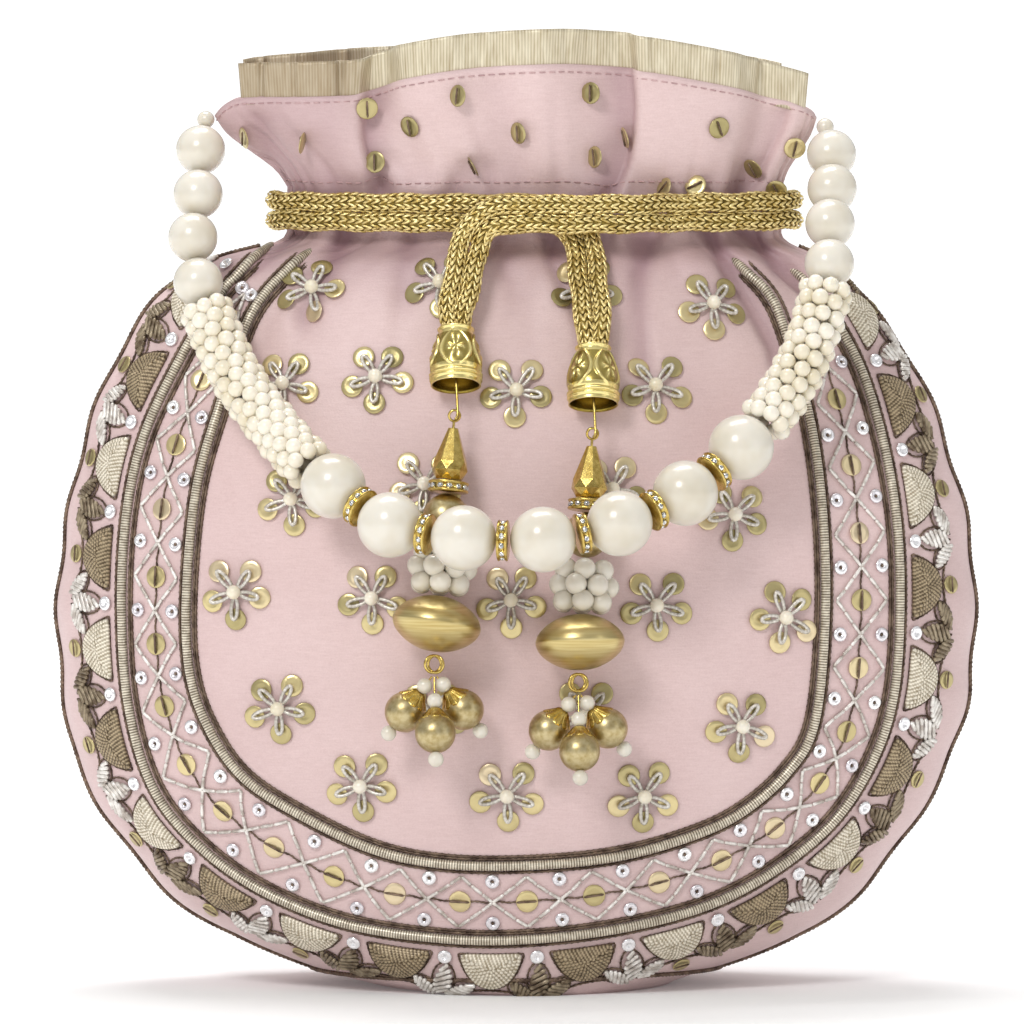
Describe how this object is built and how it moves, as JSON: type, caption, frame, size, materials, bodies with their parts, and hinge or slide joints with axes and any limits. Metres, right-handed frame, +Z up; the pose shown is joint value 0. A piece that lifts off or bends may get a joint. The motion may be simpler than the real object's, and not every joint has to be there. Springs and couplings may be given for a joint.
{
  "type": "potli drawstring reticule",
  "caption": "Round satin drawstring pouch with a frilled mouth, embroidered border bands, tasselled drawstrings and a pearl handle, standing on its flattened base.",
  "frame": {"origin": "middle of the bag's flat base, at the level that it stands on", "axes": "+Z up from the base to the frill, -Y towards the front that carries the border bands, the tassels and the handle, +X to the viewer's right"},
  "size_m": [0.2244, 0.1268, 0.2295],
  "materials": {
    "pink_satin": "soft sheen woven satin",
    "gold_tissue": "metallic tissue ribbon",
    "zari_thread": "antiqued metal thread",
    "gold_lurex": "knitted gold lurex cord",
    "cream_pearl": "cream pearl lacquer",
    "bright_gold": "polished gold plate on moulded beads",
    "matt_gold": "brushed gold plate on a moulded bead"
  },
  "bodies": {
    "root": {"back_panel": "pink_satin", "back_ribbon": "gold_tissue", "cord_left_first": "gold_lurex", "cord_left_second": "gold_lurex", "cord_right_first": "gold_lurex", "cord_right_second": "gold_lurex", "end_pearl_left": "cream_pearl", "end_pearl_right": "cream_pearl", "front_panel": "pink_satin", "front_ribbon": "gold_tissue", "inner_band": "zari_thread", "large_pearl_left_1": "cream_pearl", "large_pearl_left_2": "cream_pearl", "large_pearl_left_3": "cream_pearl", "large_pearl_middle": "cream_pearl", "large_pearl_right_1": "cream_pearl", "large_pearl_right_2": "cream_pearl", "large_pearl_right_3": "cream_pearl", "left_bell_cap": "bright_gold", "left_cone_bead": "bright_gold", "left_dangle_1": "matt_gold", "left_dangle_2": "matt_gold", "left_dangle_3": "matt_gold", "left_eye_pin": "bright_gold", "left_gold_bead": "matt_gold", "left_pearl_cluster": "cream_pearl", "left_ring": "bright_gold", "left_saucer_bead": "matt_gold", "left_spacer": "bright_gold", "medium_pearl_left_1": "cream_pearl", "medium_pearl_left_2": "cream_pearl", "medium_pearl_left_3": "cream_pearl", "medium_pearl_left_4": "cream_pearl", "medium_pearl_right_1": "cream_pearl", "medium_pearl_right_2": "cream_pearl", "medium_pearl_right_3": "cream_pearl", "medium_pearl_right_4": "cream_pearl", "outer_band": "zari_thread", "pearl_rope_left": "cream_pearl", "pearl_rope_right": "cream_pearl", "right_bell_cap": "bright_gold", "right_cone_bead": "bright_gold", "right_dangle_1": "matt_gold", "right_dangle_2": "matt_gold", "right_dangle_3": "matt_gold", "right_eye_pin": "bright_gold", "right_gold_bead": "matt_gold", "right_pearl_cluster": "cream_pearl", "right_ring": "bright_gold", "right_saucer_bead": "matt_gold", "right_spacer": "bright_gold", "seam_piping": "zari_thread", "spacer_left_1": "bright_gold", "spacer_left_2": "bright_gold", "spacer_left_3": "bright_gold", "spacer_right_1": "bright_gold", "spacer_right_2": "bright_gold", "spacer_right_3": "bright_gold"}
  },
  "joints": []
}
